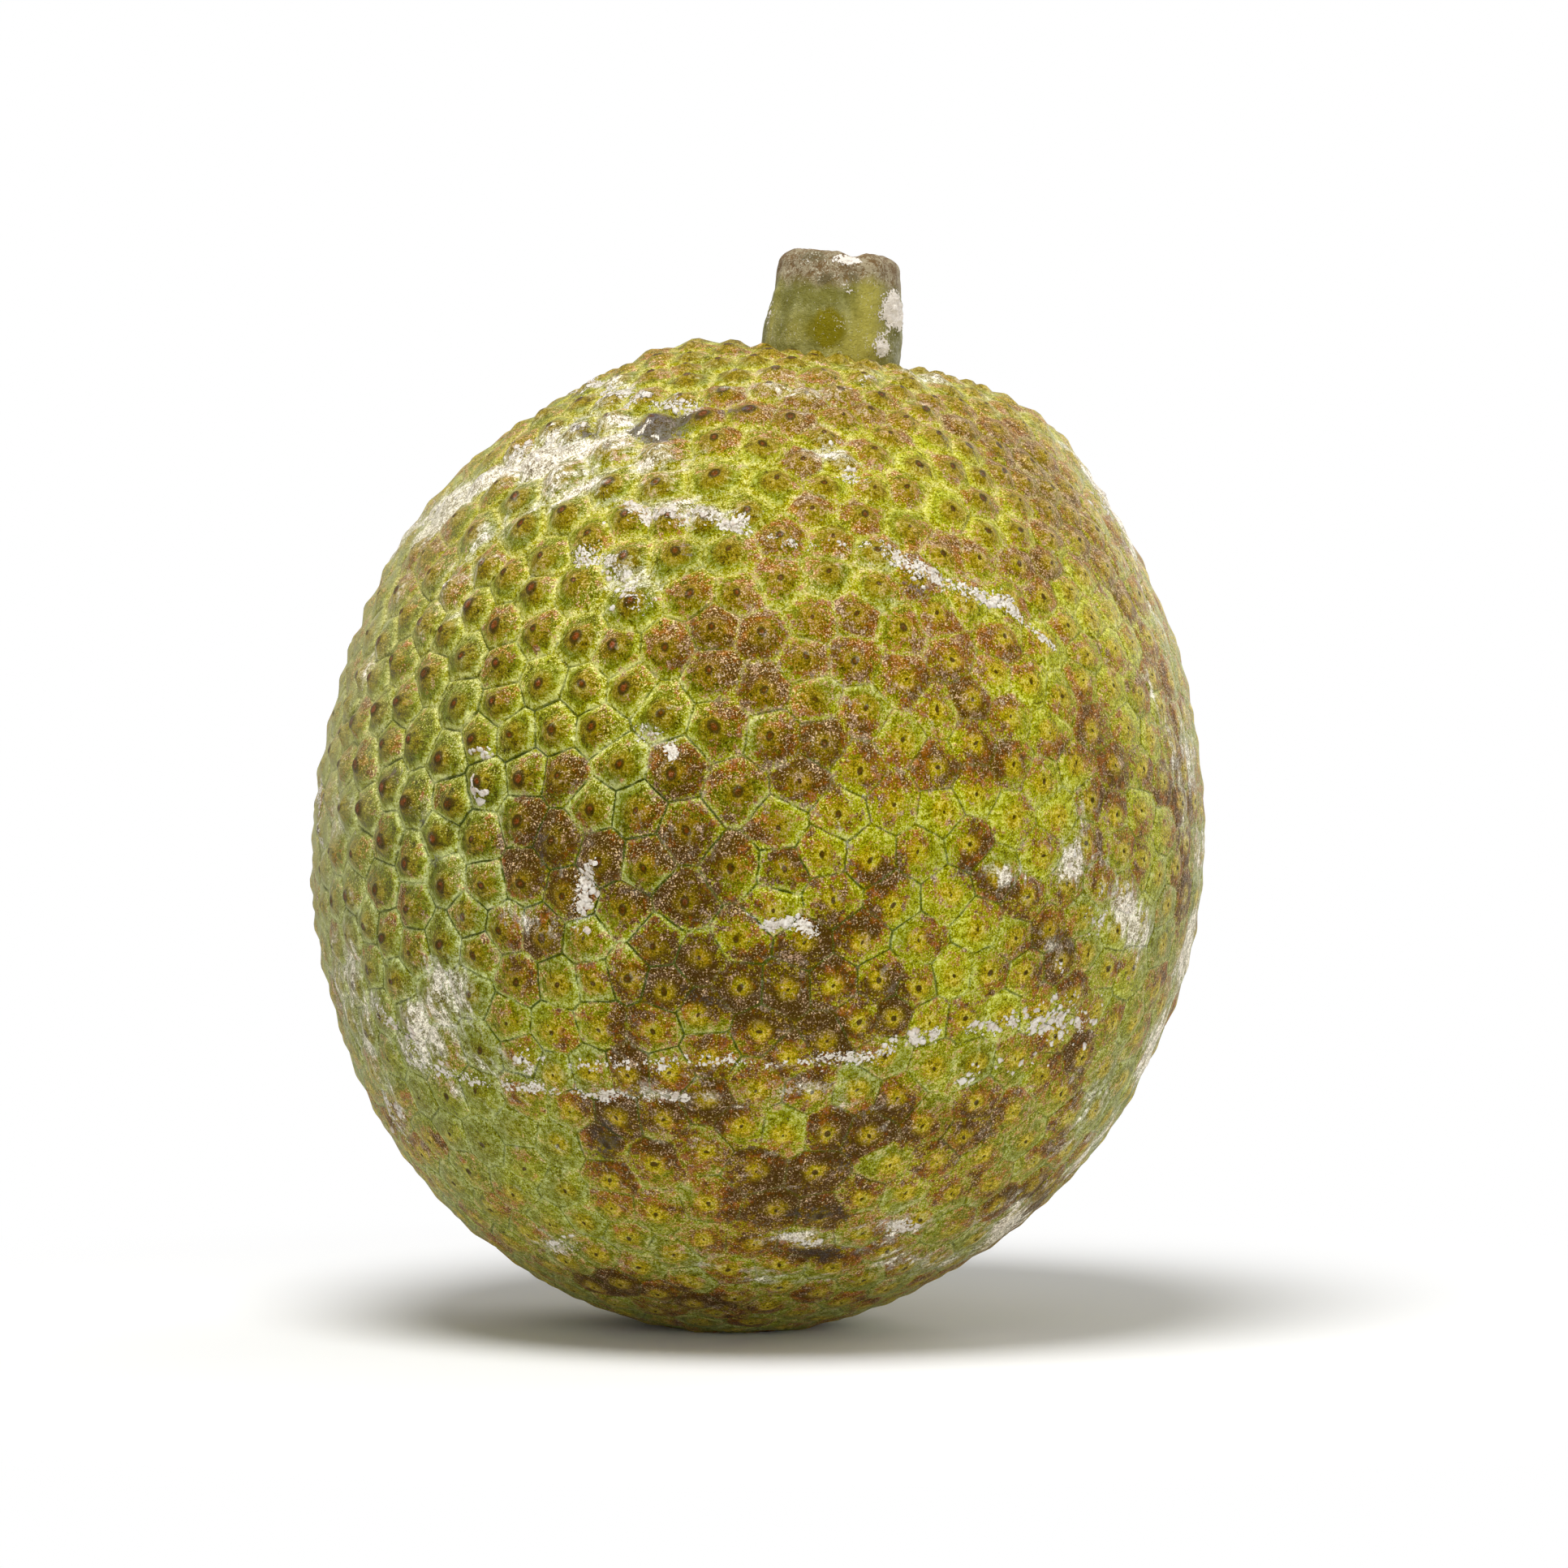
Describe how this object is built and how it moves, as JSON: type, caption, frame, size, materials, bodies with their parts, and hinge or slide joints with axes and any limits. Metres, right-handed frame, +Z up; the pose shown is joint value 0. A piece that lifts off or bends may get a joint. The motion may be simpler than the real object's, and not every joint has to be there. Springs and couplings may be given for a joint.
{
  "type": "breadfruit",
  "caption": "Whole breadfruit with green many-sided rind segments, brown patches and dried latex, resting on a small flat spot with its cut stem up.",
  "frame": {"origin": "on the surface the fruit rests on, below the middle of the whole object", "axes": "+Z up from the rest spot towards the stem end, +X to the right where the stem end leans, -Y to the front"},
  "size_m": [0.161, 0.1578, 0.195],
  "materials": {
    "rind": "green to yellow-green rind in many-sided segments, with brown patches and dried white latex, satin",
    "stalk": "grey-green fresh stalk, dry brown cut end, matt"
  },
  "bodies": {
    "root": {"fruit": "rind", "stem": "stalk"}
  },
  "joints": []
}
